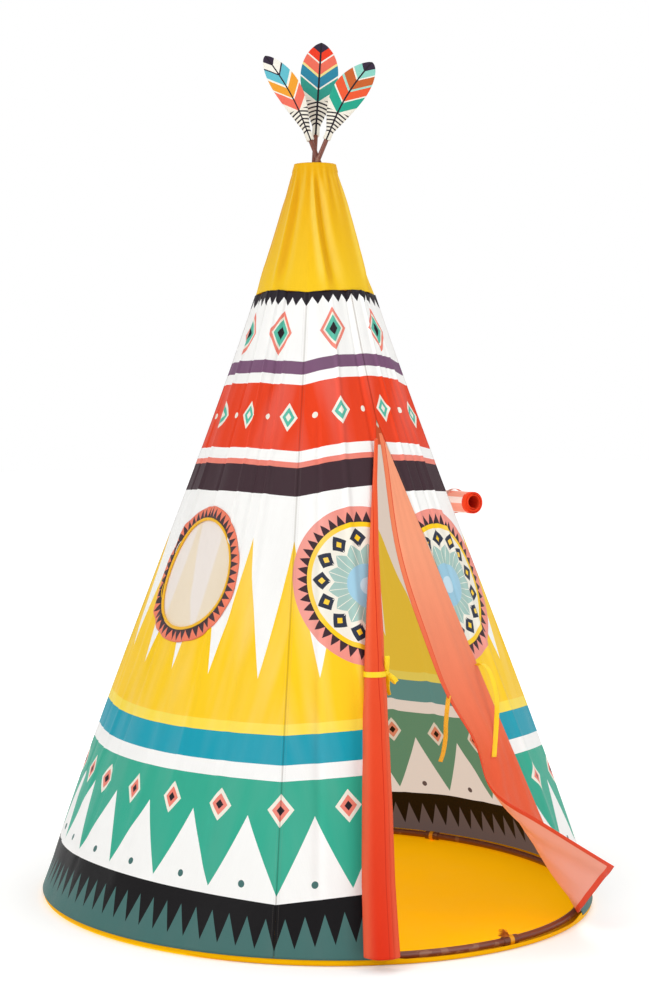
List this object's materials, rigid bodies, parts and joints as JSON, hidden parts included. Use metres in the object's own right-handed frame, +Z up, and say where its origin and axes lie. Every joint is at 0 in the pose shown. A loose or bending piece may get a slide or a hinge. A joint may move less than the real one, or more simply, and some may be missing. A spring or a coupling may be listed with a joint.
{
  "type": "kids teepee",
  "caption": "Child's play teepee: printed fabric cover on bent poles over a round floor, with a flap door, side windows and felt feathers on the pole tops.",
  "frame": {"origin": "centre of the ground sheet's underside", "axes": "+Z up along the tent's height, door facing -Y, windows facing -X and +X"},
  "size_m": [1.01, 1.1858, 1.6432],
  "materials": {
    "ground_cloth": "woven",
    "crown_cloth": "woven",
    "printed_cloth": "printed, woven",
    "red_cloth": "woven",
    "pink_cloth": "woven",
    "screen_cloth": "sheer weave",
    "ribbon": "satin ribbon",
    "tuft": "frayed thread",
    "pole": "satin",
    "ferrule": "drawn",
    "webbing": "webbing",
    "feather_cloth": "printed felt"
  },
  "bodies": {
    "tent": {"ground_sheet": "ground_cloth", "crown": "crown_cloth", "apex_band": "webbing", "hoop_rod_1": "pole", "hoop_sleeve_1": "pole", "hoop_rod_2": "pole", "hoop_sleeve_2": "pole", "hoop_rod_3": "pole", "hoop_sleeve_3": "pole", "hoop_tie_front": "ribbon", "hoop_tie_back": "ribbon", "hoop_tie_tuft": "tuft", "pole_lower_front": "pole", "pole_upper_front": "pole", "pole_sleeve_front": "ferrule", "pole_pocket_front": "webbing", "pole_lower_right": "pole", "pole_upper_right": "pole", "pole_sleeve_right": "ferrule", "pole_pocket_right": "webbing", "pole_lower_back": "pole", "pole_upper_back": "pole", "pole_sleeve_back": "ferrule", "pole_pocket_back": "webbing", "pole_lower_left": "pole", "pole_upper_left": "pole", "pole_sleeve_left": "ferrule", "pole_pocket_left": "webbing", "panel_front_left": "printed_cloth", "panel_front_right": "printed_cloth", "panel_left": "printed_cloth", "panel_right": "printed_cloth", "panel_back": "printed_cloth", "window_screen_left": "screen_cloth", "window_binding_left": "ribbon", "window_screen_right": "screen_cloth", "window_binding_right": "ribbon", "window_cover_roll": "pink_cloth", "window_cover_tie_front": "ribbon", "window_cover_tie_back": "ribbon", "door_flap_left_roll": "red_cloth", "door_flap_left_tie": "ribbon", "door_flap_left_bow": "ribbon"},
    "door_flap": {"door_flap_right": "red_cloth", "door_ribbon_outer": "ribbon", "door_ribbon_inner": "ribbon"},
    "feather_front": {"feather_front": "feather_cloth"},
    "feather_left": {"feather_left": "feather_cloth"},
    "feather_right": {"feather_right": "feather_cloth"}
  },
  "joints": [
    {"name": "door_flap_hinge", "type": "hinge", "parent": "tent", "child": "door_flap", "pos_m": [0.23483, -0.47869, 0.0198], "axis": [-0.2468, 0.3059, 0.9195], "range_deg": [0, 70]},
    {"name": "feather_front_slide", "type": "slide", "parent": "tent", "child": "feather_front", "axis": [0.2919, 0.2956, 0.9096], "range_m": [0, 0.06]},
    {"name": "feather_left_slide", "type": "slide", "parent": "tent", "child": "feather_left", "axis": [0.2717, -0.2806, 0.9206], "range_m": [0, 0.06]},
    {"name": "feather_right_slide", "type": "slide", "parent": "tent", "child": "feather_right", "axis": [-0.2576, 0.2574, 0.9313], "range_m": [0, 0.06]}
  ]
}
